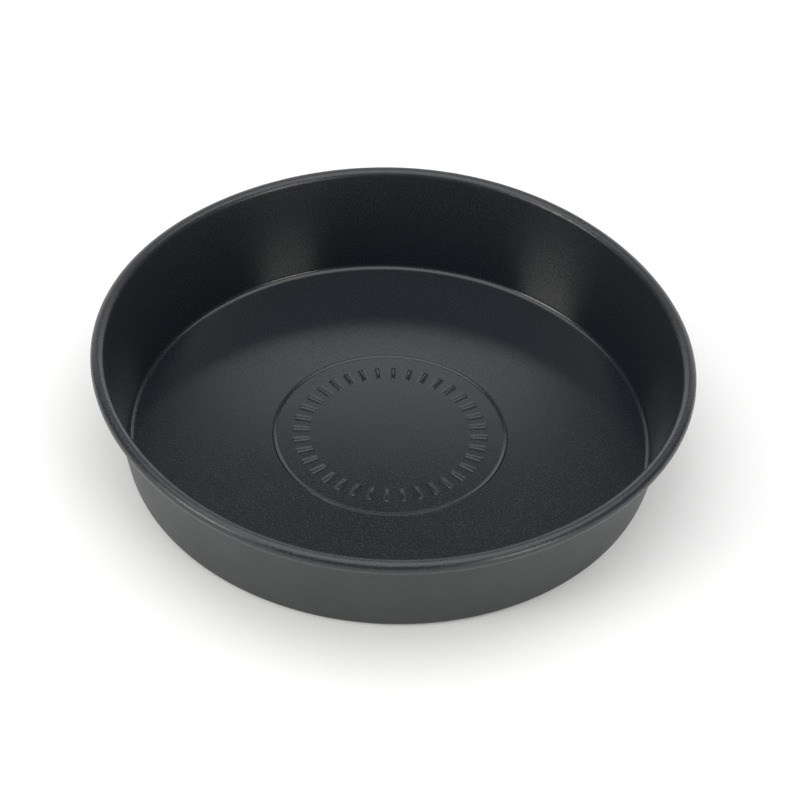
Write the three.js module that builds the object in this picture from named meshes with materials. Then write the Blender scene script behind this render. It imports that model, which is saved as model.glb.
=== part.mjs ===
// Round drip pan. A disc of sheet steel is drawn into a shallow pan with a tapered wall, a ring is
// pressed up in its floor, and the edge of the sheet is rolled outwards over a steel wire.
// Millimetres, +Z up. The origin is the centre of the underside, on the surface the pan stands on.
import * as THREE from "three";

// Shell
const RIM_DIAMETER = 267; // over the outside of the rolled rim
const PAN_HEIGHT = 51.6; // from the underside to the top of the rim
const BASE_DIAMETER = 237.8; // where the line of the outer wall meets the underside
const SHEET_THICKNESS = 1;
const CORNER_RADIUS = 3.7; // outside of the bend from base to wall

// Rolled rim and the wire in it
const WIRE_DIAMETER = 3.8;
const WIRE_CLEARANCE = 0.2; // between the wire and the curl, all round
const WIRE_END_GAP = 1.5; // between the two butted ends of the wire
const CURL_GAP = 0.4; // between the cut edge of the sheet and the wall

// Ring pressed up in the floor, which leaves a groove on the underside
const RING_DIAMETER = 104.8; // along the crest
const RING_WIDTH = 2.4;
const RING_RISE = 0.4;

// Facets
const STEPS_ROUND = 96; // round the pan, for shell and wire alike
const CORNER_STEPS = 5;
const CURL_STEPS = 14;
const RING_STEPS = 6;
const WIRE_SIDES = 10;

const nonstickCoating = new THREE.MeshStandardMaterial({
  color: 0x35373a,
  roughness: 0.45,
  metalness: 0,
});
const brightSteel = new THREE.MeshStandardMaterial({
  color: 0x9a9da1,
  roughness: 0.4,
  metalness: 1,
});

// The section of the pan lies in a plane of radius (x) and height (y).
// The sheet wraps the wire, so the curl's radii follow from the wire. The curl's centre follows from
// the top and the outside of the rim.
const curlInside = WIRE_DIAMETER / 2 + WIRE_CLEARANCE;
const curlOutside = curlInside + SHEET_THICKNESS;
const rimCentre = new THREE.Vector2(
  RIM_DIAMETER / 2 - curlOutside,
  PAN_HEIGHT - curlOutside,
);

// The outer face of the wall rises from the edge of the base and runs into the inside of the curl as
// a tangent, which sets its draft, the angle to the vertical.
const baseEdge = new THREE.Vector2(BASE_DIAMETER / 2, 0);
const toRim = rimCentre.clone().sub(baseEdge);
const draft =
  Math.atan2(toRim.x, toRim.y) - Math.asin(curlInside / toRim.length());

// Points on an arc of the section. Angles run anticlockwise from the outward direction.
function arc(centre, radius, from, to, steps) {
  return Array.from({ length: steps + 1 }, (_, i) => {
    const angle = from + ((to - from) * i) / steps;
    return new THREE.Vector2(Math.cos(angle), Math.sin(angle))
      .multiplyScalar(radius)
      .add(centre);
  });
}

// The pressed ring on one face of the base, from its inner to its outer foot: a wave of a squared cosine.
function ringSection(faceHeight) {
  return Array.from({ length: RING_STEPS + 1 }, (_, i) => {
    const across = i / RING_STEPS - 0.5;
    return new THREE.Vector2(
      RING_DIAMETER / 2 + RING_WIDTH * across,
      faceHeight + RING_RISE * Math.cos(Math.PI * across) ** 2,
    );
  });
}

// The shell's whole section, from the axis along the underside, up the outer wall, round the inside of
// the curl to the cut edge, back over the outside of the curl, down the inner wall and along the floor
// to the axis.
function shellSection() {
  const cornerCentre = new THREE.Vector2(
    baseEdge.x - CORNER_RADIUS * Math.tan(Math.PI / 4 - draft / 2),
    CORNER_RADIUS,
  );
  const cornerInside = CORNER_RADIUS - SHEET_THICKNESS;
  const down = -Math.PI / 2;
  const curlStart = Math.PI - draft;
  const edgeToWall = Math.acos((curlInside - CURL_GAP) / curlOutside);
  const curlEnd = curlStart + edgeToWall - 2 * Math.PI;
  return [
    new THREE.Vector2(0, 0),
    ...ringSection(0),
    ...arc(cornerCentre, CORNER_RADIUS, down, -draft, CORNER_STEPS),
    ...arc(rimCentre, curlInside, curlStart, curlEnd, CURL_STEPS),
    ...arc(rimCentre, curlOutside, curlEnd, curlStart, CURL_STEPS),
    ...arc(cornerCentre, cornerInside, -draft, down, CORNER_STEPS),
    ...ringSection(SHEET_THICKNESS).reverse(),
    new THREE.Vector2(0, SHEET_THICKNESS),
  ];
}

// The drawn sheet, one piece from the floor to the cut edge under the rim.
function panShell() {
  const turned = new THREE.LatheGeometry(shellSection(), STEPS_ROUND);
  turned.rotateX(Math.PI / 2); // the lathe turns about Y, the pan stands along Z
  const shell = new THREE.Mesh(turned, nonstickCoating);
  shell.name = "pan_shell";
  return shell;
}

// A level circle that stops short of closing, with its gap towards +X.
class OpenCircle extends THREE.Curve {
  constructor(radius, gap) {
    super();
    this.radius = radius;
    this.gapAngle = gap / radius;
  }

  getPoint(t, target = new THREE.Vector3()) {
    const angle = this.gapAngle / 2 + t * (2 * Math.PI - this.gapAngle);
    return target.set(
      this.radius * Math.cos(angle),
      this.radius * Math.sin(angle),
      0,
    );
  }
}

// The stiffening wire, bent into a hoop with its two ends butted, inside the curl.
function rimWire() {
  const origin = new THREE.Vector2(0, 0);
  const outline = arc(origin, WIRE_DIAMETER / 2, 0, 2 * Math.PI, WIRE_SIDES);
  const section = new THREE.Shape(outline.slice(0, WIRE_SIDES));
  const bent = new THREE.ExtrudeGeometry(section, {
    extrudePath: new OpenCircle(rimCentre.x, WIRE_END_GAP),
    steps: STEPS_ROUND,
  });
  const wire = new THREE.Mesh(bent, brightSteel);
  wire.name = "rim_wire";
  wire.position.z = rimCentre.y;
  return wire;
}

const dripPan = new THREE.Group();
dripPan.add(panShell(), rimWire());

export default dripPan;
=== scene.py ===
import math

import bpy
import numpy as np
from mathutils import Matrix, Vector


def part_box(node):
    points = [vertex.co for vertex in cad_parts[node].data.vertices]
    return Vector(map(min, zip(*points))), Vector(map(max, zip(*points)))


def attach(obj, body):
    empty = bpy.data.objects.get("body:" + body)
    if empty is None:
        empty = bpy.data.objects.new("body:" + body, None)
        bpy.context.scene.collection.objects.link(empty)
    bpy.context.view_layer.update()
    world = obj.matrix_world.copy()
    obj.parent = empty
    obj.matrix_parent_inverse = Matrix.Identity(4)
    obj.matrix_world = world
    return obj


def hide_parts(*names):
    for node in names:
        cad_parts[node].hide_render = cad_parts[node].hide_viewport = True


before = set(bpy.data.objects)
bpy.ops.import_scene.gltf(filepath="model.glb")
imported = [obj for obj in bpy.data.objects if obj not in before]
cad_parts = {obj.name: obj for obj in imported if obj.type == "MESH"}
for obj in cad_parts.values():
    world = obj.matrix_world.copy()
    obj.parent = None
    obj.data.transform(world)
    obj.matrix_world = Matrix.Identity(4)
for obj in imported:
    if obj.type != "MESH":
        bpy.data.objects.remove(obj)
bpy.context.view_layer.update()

# Pan shell
# One disc of sheet steel, drawn into a flat floor, a tight bend and a tapered wall, with its edge rolled
# outwards over a wire into a bead. A dark non-stick coat is sprayed on the inside and over the bead, and
# a smoother grey coat on the outside. The two coats meet at the cut edge under the bead.
RIM_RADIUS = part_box("pan_shell")[1].x
PAN_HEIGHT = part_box("pan_shell")[1].z
BASE_RADIUS = 0.1189  # where the line of the outer wall meets the underside
SHEET = 0.001
BEND_RADIUS = 0.0037  # outside of the bend from base to wall
BEAD_RADIUS = 0.0031
CURL_INSIDE = BEAD_RADIUS - SHEET
CURL_GAP = 0.0004  # between the cut edge of the sheet and the wall
EDGE_ROUNDING = 0.00025  # at the two corners of the cut edge, filled by the coats

# The pressed floor: one ridge all round, and short radial bars inside it.
RING_RADIUS = 0.053  # along the crest
RING_INNER_SLOPE = 0.0015  # width of the gentle side
RING_OUTER_SLOPE = 0.0005  # width of the steep side
RING_RISE = 0.0004
BAR_COUNT = 36
BAR_INNER = 0.0365
BAR_OUTER = 0.0445
BAR_WIDTH = 0.0019  # half way along, at the foot
BAR_FLANK = 0.0006  # width of the slope round each bar
BAR_RISE = 0.0003

# Drawn sheet springs back unevenly along and across its grain, so the rim is slightly oval and
# slightly four-cornered. These are the swings of its radius, by turns per round, as (cosine, sine).
SPRING_BACK = {2: (-0.00008, -0.00048), 4: (0.00057, -0.00044)}

# Rows of the mesh along the section. The rows of a slope in the floor run on a little past its foot.
BAR_END_ROWS = 7
RING_INNER_ROWS = 10
RING_OUTER_ROWS = 6
PAST_STEEP_FOOT = 0.2  # as a share of the slope's width
PAST_GENTLE_FOOT = 0.1
BEND_STEPS = 12
WALL_STEPS = 4
CURL_OUTSIDE_STEPS = 45
CURL_INSIDE_STEPS = 22
EDGE_STEPS = 3  # round each corner of the cut edge

# Columns of the mesh round the pan, for each bar and the gap beside it.
FLANK_COLUMNS = 5
BAR_TOP_COLUMNS = 2
GAP_COLUMNS = 4

rim_centre = np.array([RIM_RADIUS - BEAD_RADIUS, PAN_HEIGHT - BEAD_RADIUS])
to_rim = rim_centre - np.array([BASE_RADIUS, 0.0])
draft = math.atan2(to_rim[0], to_rim[1]) - math.asin(CURL_INSIDE / np.hypot(*to_rim))


def arc(centre, radius, start, end, steps):
    """Part of a circle: the centre plus the radius times the cosine and sine of evenly spaced angles."""
    angle = np.linspace(start, end, steps + 1)
    return np.column_stack([centre[0] + radius * np.cos(angle), centre[1] + radius * np.sin(angle)])


def rounded_edge(first, last, corner_radius, steps):
    """A cut edge from one face to the other: a straight run with a quarter circle at both ends.

    The corners' centres lie inside the sheet, one corner radius from the edge and from each face.
    """
    across = (last - first) / np.linalg.norm(last - first)
    outward = np.array([across[1], -across[0]])
    angle = np.linspace(0, math.pi / 2, steps + 1)[:, None]
    lead = corner_radius * (np.sin(angle) * outward - np.cos(angle) * across)
    trail = corner_radius * (np.cos(angle) * outward + np.sin(angle) * across)
    inset = corner_radius * across - corner_radius * outward
    outset = -corner_radius * across - corner_radius * outward
    return np.concatenate([first + inset + lead, last + outset + trail])


def floor_line(height):
    """Section of the floor at one face, from the axis outwards, with close rows where it is pressed."""
    bar_end = BAR_FLANK * np.linspace(-PAST_STEEP_FOOT, 1, BAR_END_ROWS)
    ring_inside = RING_INNER_SLOPE * np.linspace(1 + PAST_GENTLE_FOOT, 0, RING_INNER_ROWS)
    ring_outside = RING_OUTER_SLOPE * np.linspace(0, 1 + PAST_STEEP_FOOT, RING_OUTER_ROWS + 1)
    radii = np.concatenate([
        [0.0],
        BAR_INNER + bar_end,
        BAR_OUTER - bar_end[::-1],
        RING_RADIUS - ring_inside,
        RING_RADIUS + ring_outside[1:],
    ])
    return np.column_stack([radii, np.full_like(radii, height)])


def shell_section():
    """The inside line from the axis to the cut edge, the edge, and the outside line back to the axis.

    Each line is a level floor, the arc of the bend, the straight wall and the arc of the curl.
    """
    bend_centre = (BASE_RADIUS - BEND_RADIUS * math.tan(math.pi / 4 - draft / 2), BEND_RADIUS)
    curl_start = math.pi - draft
    curl_end = curl_start + math.acos((CURL_INSIDE - CURL_GAP) / BEAD_RADIUS) - 2 * math.pi
    up_straight = np.linspace(0, 1, WALL_STEPS + 1)[1:-1, None]

    def line(height, bend_radius, curl_radius, curl_steps):
        bend = arc(bend_centre, bend_radius, -math.pi / 2, -draft, BEND_STEPS)
        curl = arc(rim_centre, curl_radius, curl_start, curl_end, curl_steps)
        straight = bend[-1] + up_straight * (curl[0] - bend[-1])
        return np.concatenate([floor_line(height), bend, straight, curl])

    inside = line(SHEET, BEND_RADIUS - SHEET, BEAD_RADIUS, CURL_OUTSIDE_STEPS)
    outside = line(0.0, BEND_RADIUS, CURL_INSIDE, CURL_INSIDE_STEPS)
    edge = rounded_edge(inside[-1], outside[-1], EDGE_ROUNDING, EDGE_STEPS)
    return inside[:-1], edge, outside[-2::-1]


def columns_round():
    """Angles of the mesh columns: in each bar's pitch, close together on the bar's two flanks."""
    pitch = 2 * math.pi / BAR_COUNT
    half_foot = BAR_WIDTH / (BAR_INNER + BAR_OUTER)
    half_top = half_foot - BAR_FLANK * 2 / (BAR_INNER + BAR_OUTER)
    one_bar = np.concatenate([
        np.linspace(-half_foot, -half_top, FLANK_COLUMNS, endpoint=False),
        np.linspace(-half_top, half_top, BAR_TOP_COLUMNS, endpoint=False),
        np.linspace(half_top, half_foot, FLANK_COLUMNS, endpoint=False),
        np.linspace(half_foot, pitch - half_foot, GAP_COLUMNS, endpoint=False),
    ])
    return (np.arange(BAR_COUNT)[:, None] * pitch + one_bar).ravel()


def smooth_step(value):
    """Rises from 0 to 1 as the value does, level at both ends: 3 v squared less 2 v cubed."""
    held = np.clip(value, 0, 1)
    return held * held * (3 - 2 * held)


def floor_rise(radius, angle):
    """Height of the pressing: a squared cosine down each side of the ring, and bars with sloped sides."""
    from_crest = radius - RING_RADIUS
    down_slope = np.abs(from_crest) / np.where(from_crest < 0, RING_INNER_SLOPE, RING_OUTER_SLOPE)
    ridge = np.where(down_slope < 1, np.cos(math.pi / 2 * down_slope) ** 2, 0)
    pitch = 2 * math.pi / BAR_COUNT
    mean_radius = (BAR_INNER + BAR_OUTER) / 2
    off_bar = np.abs((angle + pitch / 2) % pitch - pitch / 2) * mean_radius
    beside = smooth_step((BAR_WIDTH / 2 - off_bar) / BAR_FLANK)
    along = smooth_step(np.minimum(radius - BAR_INNER, BAR_OUTER - radius) / BAR_FLANK)
    return RING_RISE * ridge + BAR_RISE * beside * along


def spring_back(angle):
    """How far the rim stands out of its true circle: a sum of cosines and sines of whole turns."""
    return sum(
        cosine * np.cos(turns * angle) + sine * np.sin(turns * angle)
        for turns, (cosine, sine) in SPRING_BACK.items()
    )


def mesh_object(name, points, quads, triangles, materials, face_material=None):
    """A smooth mesh from arrays of corners, four-sided faces and three-sided faces."""
    mesh = bpy.data.meshes.new(name)
    mesh.vertices.add(len(points))
    mesh.vertices.foreach_set("co", points.astype(np.float32).ravel())
    corners = np.concatenate([quads.ravel(), triangles.ravel()]).astype(np.int32)
    sizes = np.concatenate([np.full(len(quads), 4), np.full(len(triangles), 3)])
    mesh.loops.add(len(corners))
    mesh.loops.foreach_set("vertex_index", corners)
    mesh.polygons.add(len(sizes))
    mesh.polygons.foreach_set("loop_start", (np.cumsum(sizes) - sizes).astype(np.int32))
    for material in materials:
        mesh.materials.append(material)
    if face_material is not None:
        mesh.polygons.foreach_set("material_index", face_material.astype(np.int32))
    mesh.update(calc_edges=True)
    mesh.validate()
    mesh.shade_smooth()
    made = bpy.data.objects.new(name, mesh)
    bpy.context.scene.collection.objects.link(made)
    return made


def grid_quads(rows, columns):
    """Corner numbers of the faces of a grid that is stored row by row, each row a closed ring."""
    row = np.arange(rows - 1)[:, None]
    column = np.arange(columns)[None, :]
    here = row * columns + column
    beside = row * columns + (column + 1) % columns
    return np.stack([here, beside, beside + columns, here + columns], axis=-1).reshape(-1, 4)


def fan(centre, ring, turned):
    """Three-sided faces from one corner to each side of a closed ring of corners."""
    following = np.roll(ring, -1)
    pair = (following, ring) if turned else (ring, following)
    return np.column_stack([np.full(len(ring), centre), *pair])


def coat_grain():
    """Node group of a sprayed and baked coat: bright flecks, slow mottling and a fine orange peel."""
    group = bpy.data.node_groups.new("coat_grain", "ShaderNodeTree")
    for name, kind, way in [
        ("Place", "NodeSocketVector", "INPUT"),
        ("Peel Scale", "NodeSocketFloat", "INPUT"),
        ("Fleck Scale", "NodeSocketFloat", "INPUT"),
        ("Fleck Start", "NodeSocketFloat", "INPUT"),
        ("Fleck", "NodeSocketFloat", "OUTPUT"),
        ("Mottle", "NodeSocketFloat", "OUTPUT"),
        ("Peel", "NodeSocketFloat", "OUTPUT"),
    ]:
        group.interface.new_socket(name, in_out=way, socket_type=kind)
    nodes, links = group.nodes, group.links
    given = nodes.new("NodeGroupInput")
    result = nodes.new("NodeGroupOutput")

    peel = nodes.new("ShaderNodeTexNoise")
    peel.inputs["Detail"].default_value = 2.0
    peel.inputs["Roughness"].default_value = 0.55
    links.new(given.outputs["Place"], peel.inputs["Vector"])
    links.new(given.outputs["Peel Scale"], peel.inputs["Scale"])
    links.new(peel.outputs["Fac"], result.inputs["Peel"])

    speck = nodes.new("ShaderNodeTexNoise")
    speck.inputs["Detail"].default_value = 1.0
    links.new(given.outputs["Place"], speck.inputs["Vector"])
    links.new(given.outputs["Fleck Scale"], speck.inputs["Scale"])
    only_peaks = nodes.new("ShaderNodeMapRange")
    only_peaks.interpolation_type = "SMOOTHSTEP"
    only_peaks.inputs["From Max"].default_value = 0.8
    links.new(speck.outputs["Fac"], only_peaks.inputs["Value"])
    links.new(given.outputs["Fleck Start"], only_peaks.inputs["From Min"])
    links.new(only_peaks.outputs["Result"], result.inputs["Fleck"])

    mottle = nodes.new("ShaderNodeTexNoise")
    mottle.inputs["Scale"].default_value = 45.0
    mottle.inputs["Detail"].default_value = 3.0
    links.new(given.outputs["Place"], mottle.inputs["Vector"])
    links.new(mottle.outputs["Fac"], result.inputs["Mottle"])
    return group


grain = coat_grain()


def sprayed_coat(
    name,
    colour,
    fleck_colour,
    roughness,
    fleck_roughness,
    painted_rim_light,
    rim_roughness,
    peel_scale,
    peel_depth,
    rim_peel,
    fleck_scale,
    fleck_start,
    ior,
):
    """A baked coat with flecks and a fine peel.

    Its roughness drifts between two values, and its flecks are rougher. The spray lies drier up the wall,
    so the coat grows rougher there, and its peel 1 + rim_peel times as deep at the bead. A colour is also
    added up the wall, growing to full size at the bead: painted light, which lifts the upper wall and
    bead.
    """
    material = bpy.data.materials.new(name)
    material.use_nodes = True
    nodes, links = material.node_tree.nodes, material.node_tree.links
    shader = nodes["Principled BSDF"]
    shader.inputs["IOR"].default_value = ior

    place = nodes.new("ShaderNodeTexCoord")
    spray = nodes.new("ShaderNodeGroup")
    spray.node_tree = grain
    spray.inputs["Peel Scale"].default_value = peel_scale
    spray.inputs["Fleck Scale"].default_value = fleck_scale
    spray.inputs["Fleck Start"].default_value = fleck_start
    links.new(place.outputs["Object"], spray.inputs["Place"])
    up_wall = nodes.new("ShaderNodeAttribute")
    up_wall.attribute_name = "up_wall"

    tint = nodes.new("ShaderNodeMix")
    tint.data_type = "RGBA"
    tint.inputs["A"].default_value = (*colour, 1)
    tint.inputs["B"].default_value = (*fleck_colour, 1)
    links.new(spray.outputs["Fleck"], tint.inputs["Factor"])
    # Painted light: a colour added in step with up_wall, so the coat is lighter towards the rim.
    with_painted_light = nodes.new("ShaderNodeMix")
    with_painted_light.data_type = "RGBA"
    with_painted_light.blend_type = "ADD"
    with_painted_light.inputs["B"].default_value = (*painted_rim_light, 1)
    links.new(up_wall.outputs["Fac"], with_painted_light.inputs["Factor"])
    links.new(tint.outputs["Result"], with_painted_light.inputs["A"])
    links.new(with_painted_light.outputs["Result"], shader.inputs["Base Color"])

    gloss = nodes.new("ShaderNodeMapRange")
    gloss.inputs["From Min"].default_value = 0.3
    gloss.inputs["From Max"].default_value = 0.7
    gloss.inputs["To Min"].default_value = roughness[0]
    gloss.inputs["To Max"].default_value = roughness[1]
    links.new(spray.outputs["Mottle"], gloss.inputs["Value"])
    with_flecks = nodes.new("ShaderNodeMath")
    with_flecks.operation = "MULTIPLY_ADD"
    with_flecks.inputs[1].default_value = fleck_roughness
    links.new(spray.outputs["Fleck"], with_flecks.inputs[0])
    links.new(gloss.outputs["Result"], with_flecks.inputs[2])
    to_the_rim = nodes.new("ShaderNodeMath")
    to_the_rim.operation = "MULTIPLY_ADD"
    to_the_rim.inputs[1].default_value = rim_roughness
    links.new(up_wall.outputs["Fac"], to_the_rim.inputs[0])
    links.new(with_flecks.outputs[0], to_the_rim.inputs[2])
    links.new(to_the_rim.outputs[0], shader.inputs["Roughness"])

    deeper = nodes.new("ShaderNodeMath")
    deeper.operation = "MULTIPLY_ADD"
    deeper.inputs[1].default_value = rim_peel
    deeper.inputs[2].default_value = 1.0
    links.new(up_wall.outputs["Fac"], deeper.inputs[0])
    peel = nodes.new("ShaderNodeMath")
    peel.operation = "MULTIPLY"
    links.new(spray.outputs["Peel"], peel.inputs[0])
    links.new(deeper.outputs[0], peel.inputs[1])
    bump = nodes.new("ShaderNodeBump")
    bump.inputs["Strength"].default_value = 1.0
    bump.inputs["Distance"].default_value = peel_depth
    links.new(peel.outputs[0], bump.inputs["Height"])
    links.new(bump.outputs["Normal"], shader.inputs["Normal"])
    return material


nonstick_coat = sprayed_coat(
    "nonstick_coat",
    colour=(0.0085, 0.0113, 0.0158),
    fleck_colour=(0.017, 0.02, 0.025),
    roughness=(0.165, 0.185),
    fleck_roughness=0.28,
    # Painted light: the inside coat lightens by this much towards the rim, standing in for light on the
    # upper wall.
    painted_rim_light=(0.0085, 0.0087, 0.0087),
    rim_roughness=0.1,
    peel_scale=1300,
    peel_depth=0.000016,
    rim_peel=5.5,
    fleck_scale=1800,
    fleck_start=0.5,
    ior=1.54,
)
outside_coat = sprayed_coat(
    "outside_coat",
    colour=(0.022, 0.025, 0.028),
    fleck_colour=(0.055, 0.062, 0.07),
    roughness=(0.4, 0.46),
    fleck_roughness=0.1,
    painted_rim_light=(0.0, 0.0, 0.0),
    rim_roughness=0.0,
    peel_scale=700,
    peel_depth=0.00002,
    rim_peel=0.0,
    fleck_scale=1300,
    fleck_start=0.55,
    ior=1.52,
)


def pan_shell():
    """The section carried round the axis, its floor pressed and its upper part swung by the spring-back.

    A point's radius grows by the rim's swing times its height over the pan's height. The attribute
    up_wall tells the coat how far up the wall a point is, from 0 at the bend to 1 at the bead.
    """
    inside, edge, outside = shell_section()
    section = np.concatenate([inside, edge, outside])
    angle = columns_round()
    radius, height = section[1:-1, :1], section[1:-1, 1:]
    swing = spring_back(angle)[None, :] * height / PAN_HEIGHT
    rise = np.where(radius < BASE_RADIUS - BEND_RADIUS, floor_rise(radius, angle[None, :]), 0)
    ring_points = np.stack([
        (radius + swing) * np.cos(angle),
        (radius + swing) * np.sin(angle),
        height + rise,
    ], axis=-1)
    rows, columns = ring_points.shape[:2]
    points = np.concatenate([ring_points.reshape(-1, 3), [[0, 0, SHEET], [0, 0, 0]]])
    numbers = np.arange(rows * columns).reshape(rows, columns)
    floor_fan = fan(len(points) - 2, numbers[0], turned=False)
    base_fan = fan(len(points) - 1, numbers[-1], turned=True)
    coats_meet = len(inside) + len(edge) // 2 - 1  # row half way across the cut edge
    is_outside = np.repeat(np.arange(rows - 1) >= coats_meet, columns)
    coat = np.concatenate([is_outside, np.zeros(columns), np.ones(columns)])
    made = mesh_object(
        "pan_shell_looks",
        points,
        grid_quads(rows, columns)[:, ::-1],
        np.concatenate([floor_fan, base_fan]),
        [nonstick_coat, outside_coat],
        coat,
    )
    up_wall = np.clip((points[:, 2] - BEND_RADIUS) / (rim_centre[1] - BEND_RADIUS), 0, 1)
    made.data.attributes.new("up_wall", "FLOAT", "POINT").data.foreach_set("value", up_wall)
    return made


shell = pan_shell()
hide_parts("pan_shell")
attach(shell, "root")

# Rim wire
# A drawn steel wire, bent into a hoop with its two ends butted, lies in the curl and keeps the rim round
# and stiff. The sheet is rolled over it, so it shows only through the slit under the bead.
WIRE_RADIUS = 0.0019
WIRE_END_GAP = 0.0015
WIRE_SIDES = 20
WIRE_STEPS = 480
DARK_STEEL = (0.26, 0.27, 0.29)
LIGHT_STEEL = (0.38, 0.4, 0.42)
STEEL_ROUGHNESS = (0.28, 0.42)


def drawn_steel():
    """Bare drawn wire: grey steel with fine lengthwise die lines, from noise stretched along the wire."""
    material = bpy.data.materials.new("drawn_steel")
    material.use_nodes = True
    nodes, links = material.node_tree.nodes, material.node_tree.links
    shader = nodes["Principled BSDF"]
    shader.inputs["Metallic"].default_value = 1.0

    round_wire = nodes.new("ShaderNodeAttribute")
    round_wire.attribute_name = "round_wire"
    die_lines = nodes.new("ShaderNodeTexNoise")
    die_lines.inputs["Scale"].default_value = 12.0
    die_lines.inputs["Detail"].default_value = 4.0
    links.new(round_wire.outputs["Vector"], die_lines.inputs["Vector"])

    shade = nodes.new("ShaderNodeMix")
    shade.data_type = "RGBA"
    shade.inputs["A"].default_value = (*DARK_STEEL, 1)
    shade.inputs["B"].default_value = (*LIGHT_STEEL, 1)
    links.new(die_lines.outputs["Fac"], shade.inputs["Factor"])
    links.new(shade.outputs["Result"], shader.inputs["Base Color"])

    gloss = nodes.new("ShaderNodeMapRange")
    gloss.inputs["To Min"].default_value = STEEL_ROUGHNESS[0]
    gloss.inputs["To Max"].default_value = STEEL_ROUGHNESS[1]
    links.new(die_lines.outputs["Fac"], gloss.inputs["Value"])
    links.new(gloss.outputs["Result"], shader.inputs["Roughness"])
    return material


def rim_wire():
    """A circle carried round the bead's centre line, which swings with the rim, and closed at its ends.

    The attribute round_wire holds the direction from the wire's centre and the way along it, for the
    die lines.
    """
    half_gap = WIRE_END_GAP / 2 / rim_centre[0]
    along, turn = np.meshgrid(
        np.linspace(half_gap, 2 * math.pi - half_gap, WIRE_STEPS + 1),
        np.linspace(0, 2 * math.pi, WIRE_SIDES, endpoint=False),
        indexing="ij",
    )
    swing = spring_back(along) * rim_centre[1] / PAN_HEIGHT
    radius = rim_centre[0] + swing + WIRE_RADIUS * np.cos(turn)
    height = rim_centre[1] + WIRE_RADIUS * np.sin(turn)
    tube = np.stack([radius * np.cos(along), radius * np.sin(along), height], axis=-1)
    rows, columns = tube.shape[:2]
    ends = tube[[0, -1]].mean(axis=1)
    points = np.concatenate([tube.reshape(-1, 3), ends])
    numbers = np.arange(rows * columns).reshape(rows, columns)
    caps = [
        fan(len(points) - 2, numbers[0], turned=False),
        fan(len(points) - 1, numbers[-1], turned=True),
    ]
    wire = mesh_object(
        "rim_wire_looks",
        points,
        grid_quads(rows, columns)[:, ::-1],
        np.concatenate(caps),
        [drawn_steel()],
    )
    lines = np.stack([np.cos(turn), np.sin(turn), along], axis=-1)
    with_ends = np.concatenate([lines.reshape(-1, 3), lines[[0, -1], 0]])
    attribute = wire.data.attributes.new("round_wire", "FLOAT_VECTOR", "POINT")
    attribute.data.foreach_set("vector", with_ends.ravel())
    return wire


wire = rim_wire()
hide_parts("rim_wire")
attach(wire, "root")

# Table
# A plain white table, far wider than the view. The lamps light its paint, which takes the pan's shadow.
# To the camera and in reflections it also glows. The glow is weak beside the pan, a painted shade on the
# table there and in the pan's reflections of it, and stronger far off, so that it is white all over.
TABLE_HALF_WIDTH = 12.0
TABLE_PAINT = 0.8
GLOW_START = 0.2  # distances from the pan's axis
GLOW_END = 1.2
# Painted shade: the weaker glow beside the pan darkens the table round it.
GLOW_BESIDE_PAN = 0.18
GLOW_FAR_OFF = 0.6


def table_top():
    """White paint that is lit by the lamps, with a glow added for camera, glossy and clear rays.

    The glow rises smoothly with the distance from the pan's axis, so the table beside the pan has painted
    shade.
    From below the table is clear.
    """
    material = bpy.data.materials.new("table_white")
    material.use_nodes = True
    nodes, links = material.node_tree.nodes, material.node_tree.links
    nodes.remove(nodes["Principled BSDF"])
    output = nodes["Material Output"]

    paint = nodes.new("ShaderNodeBsdfDiffuse")
    paint.inputs["Color"].default_value = (TABLE_PAINT, TABLE_PAINT, TABLE_PAINT, 1)
    place = nodes.new("ShaderNodeTexCoord")
    away = nodes.new("ShaderNodeVectorMath")
    away.operation = "LENGTH"
    glow_level = nodes.new("ShaderNodeMapRange")
    glow_level.interpolation_type = "SMOOTHSTEP"
    glow_level.inputs["From Min"].default_value = GLOW_START
    glow_level.inputs["From Max"].default_value = GLOW_END
    glow_level.inputs["To Min"].default_value = GLOW_BESIDE_PAN
    glow_level.inputs["To Max"].default_value = GLOW_FAR_OFF
    links.new(place.outputs["Object"], away.inputs[0])
    links.new(away.outputs["Value"], glow_level.inputs["Value"])

    glow = nodes.new("ShaderNodeEmission")
    ray = nodes.new("ShaderNodeLightPath")
    seen = nodes.new("ShaderNodeMath")
    seen.operation = "MAXIMUM"
    seen_clear = nodes.new("ShaderNodeMath")
    seen_clear.operation = "MAXIMUM"
    seen_level = nodes.new("ShaderNodeMath")
    seen_level.operation = "MULTIPLY"
    links.new(ray.outputs["Is Camera Ray"], seen.inputs[0])
    links.new(ray.outputs["Is Glossy Ray"], seen.inputs[1])
    links.new(seen.outputs[0], seen_clear.inputs[0])
    links.new(ray.outputs["Is Transmission Ray"], seen_clear.inputs[1])
    links.new(seen_clear.outputs[0], seen_level.inputs[0])
    links.new(glow_level.outputs["Result"], seen_level.inputs[1])
    links.new(seen_level.outputs[0], glow.inputs["Strength"])

    both = nodes.new("ShaderNodeAddShader")
    links.new(paint.outputs[0], both.inputs[0])
    links.new(glow.outputs[0], both.inputs[1])
    below = nodes.new("ShaderNodeNewGeometry")
    clear = nodes.new("ShaderNodeBsdfTransparent")
    one_sided = nodes.new("ShaderNodeMixShader")
    links.new(below.outputs["Backfacing"], one_sided.inputs["Fac"])
    links.new(both.outputs[0], one_sided.inputs[1])
    links.new(clear.outputs[0], one_sided.inputs[2])
    links.new(one_sided.outputs[0], output.inputs["Surface"])
    return material


sides = np.array([-TABLE_HALF_WIDTH, TABLE_HALF_WIDTH])
table_x, table_y = np.meshgrid(sides, sides)
table_points = np.stack([table_x, table_y, np.zeros_like(table_x)], axis=-1).reshape(-1, 3)
one_face = np.array([[0, 1, 3, 2]])
no_triangles = np.zeros((0, 3), int)
table = mesh_object("table", table_points, one_face, no_triangles, [table_top()])

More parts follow.
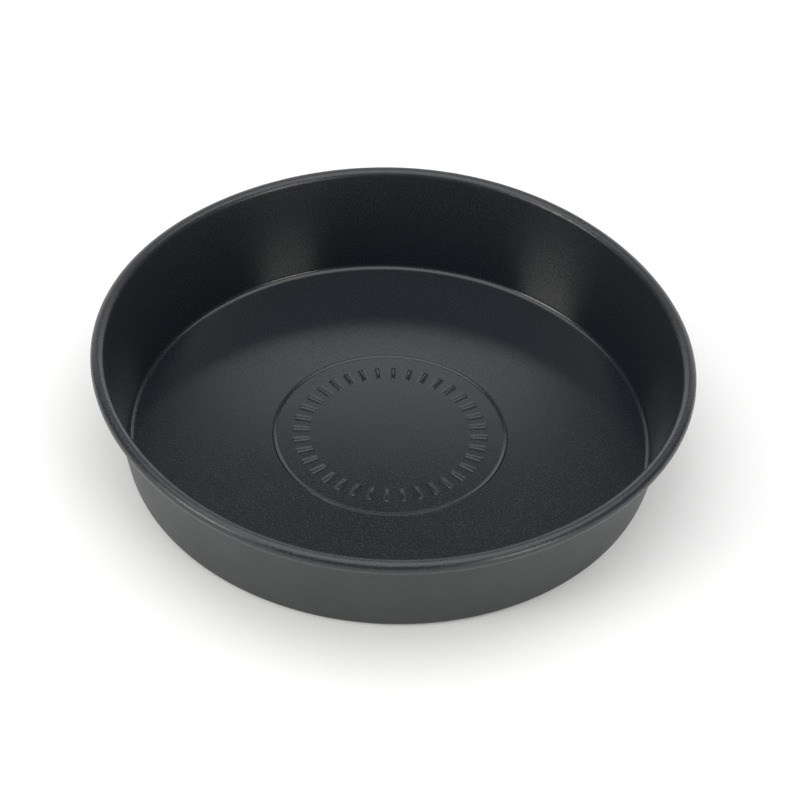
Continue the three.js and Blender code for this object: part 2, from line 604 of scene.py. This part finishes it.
# Studio
# Weak white light from all round, a large soft box overhead and two more at the back, left and right.
# Two warm boxes stand in front, and a small one behind the pan shines on the middle of its floor.
SURROUNDING_LIGHT = 0.15
PAN_MIDDLE = (0, 0, PAN_HEIGHT / 2)
WHITE = (1, 1, 1)
WARM = (1, 0.985, 0.9)


def studio_world():
    """The same weak white light from all round, as from the walls of a studio."""
    world = bpy.data.worlds.new("studio")
    bpy.context.scene.world = world
    world.use_nodes = True
    background = world.node_tree.nodes["Background"]
    background.inputs["Color"].default_value = (*WHITE, 1)
    background.inputs["Strength"].default_value = SURROUNDING_LIGHT


def soft_box(name, place, aim, width, height, power, colour=WHITE):
    """A rectangular lamp at a place, turned to shine at a point, hidden from the camera."""
    lamp = bpy.data.lights.new(name, "AREA")
    lamp.shape = "RECTANGLE"
    lamp.size = width
    lamp.size_y = height
    lamp.energy = power
    lamp.color = colour
    box = bpy.data.objects.new(name, lamp)
    box.location = place
    box.rotation_mode = "QUATERNION"
    box.rotation_quaternion = (Vector(aim) - Vector(place)).to_track_quat("-Z", "Y")
    box.visible_camera = False
    bpy.context.scene.collection.objects.link(box)


studio_world()
soft_box(
    "overhead",
    place=(0, -0.14, 1.4),
    aim=(0, -0.14, 0),
    width=2.4,
    height=1.7,
    power=25.2,
)
soft_box(
    "back_card",
    place=(-0.01, 0.6, 0.38),
    aim=(-0.01, 0, 0.38),
    width=0.24,
    height=0.34,
    power=0.315,
)
soft_box(
    "back_left",
    place=(-1.76, 2.86, 1.14),
    aim=(-1.76, 0, 1.14),
    width=2.64,
    height=2.29,
    power=21.3,
)
soft_box(
    "back_right",
    place=(1.76, 2.86, 1.14),
    aim=(1.76, 0, 1.14),
    width=2.64,
    height=2.29,
    power=21.3,
)
soft_box(
    "front_left",
    place=(-2.35, -1.08, 1.1),
    aim=PAN_MIDDLE,
    width=1.06,
    height=1.32,
    power=30,
    colour=WARM,
)
soft_box(
    "front_right",
    place=(1.98, -1.89, 0.7),
    aim=PAN_MIDDLE,
    width=0.99,
    height=1.32,
    power=22.3,
    colour=WARM,
)

# Camera
# Placed by the circles of the rim, the base and the pressed ring in the photograph. Its roll puts the
# pan's axis as far off the upright as the photograph has it.
IMAGE_SIZE = 800  # pixels, both ways
FOCAL_PIXELS = 2700
SENSOR = 36.0  # millimetres
CAMERA_ELEVATION = math.radians(42.26)
CAMERA_ROLL = math.radians(2.784)
CAMERA_DISTANCE = 1.2083
CAMERA_TARGET = Vector((0.00376, -0.00384, 0.025))

forward = Vector((0, math.cos(CAMERA_ELEVATION), -math.sin(CAMERA_ELEVATION)))
level_right = Vector((1, 0, 0))
level_up = level_right.cross(forward)
right = math.cos(CAMERA_ROLL) * level_right + math.sin(CAMERA_ROLL) * level_up
up = math.cos(CAMERA_ROLL) * level_up - math.sin(CAMERA_ROLL) * level_right
lens = bpy.data.cameras.new("camera")
lens.sensor_width = SENSOR
lens.lens = SENSOR * FOCAL_PIXELS / IMAGE_SIZE
camera = bpy.data.objects.new("camera", lens)
turned = Matrix((right, up, -forward)).transposed().to_4x4()
camera.matrix_world = Matrix.Translation(CAMERA_TARGET - CAMERA_DISTANCE * forward) @ turned
bpy.context.scene.collection.objects.link(camera)
bpy.context.scene.camera = camera
bpy.context.scene.view_settings.view_transform = "Standard"
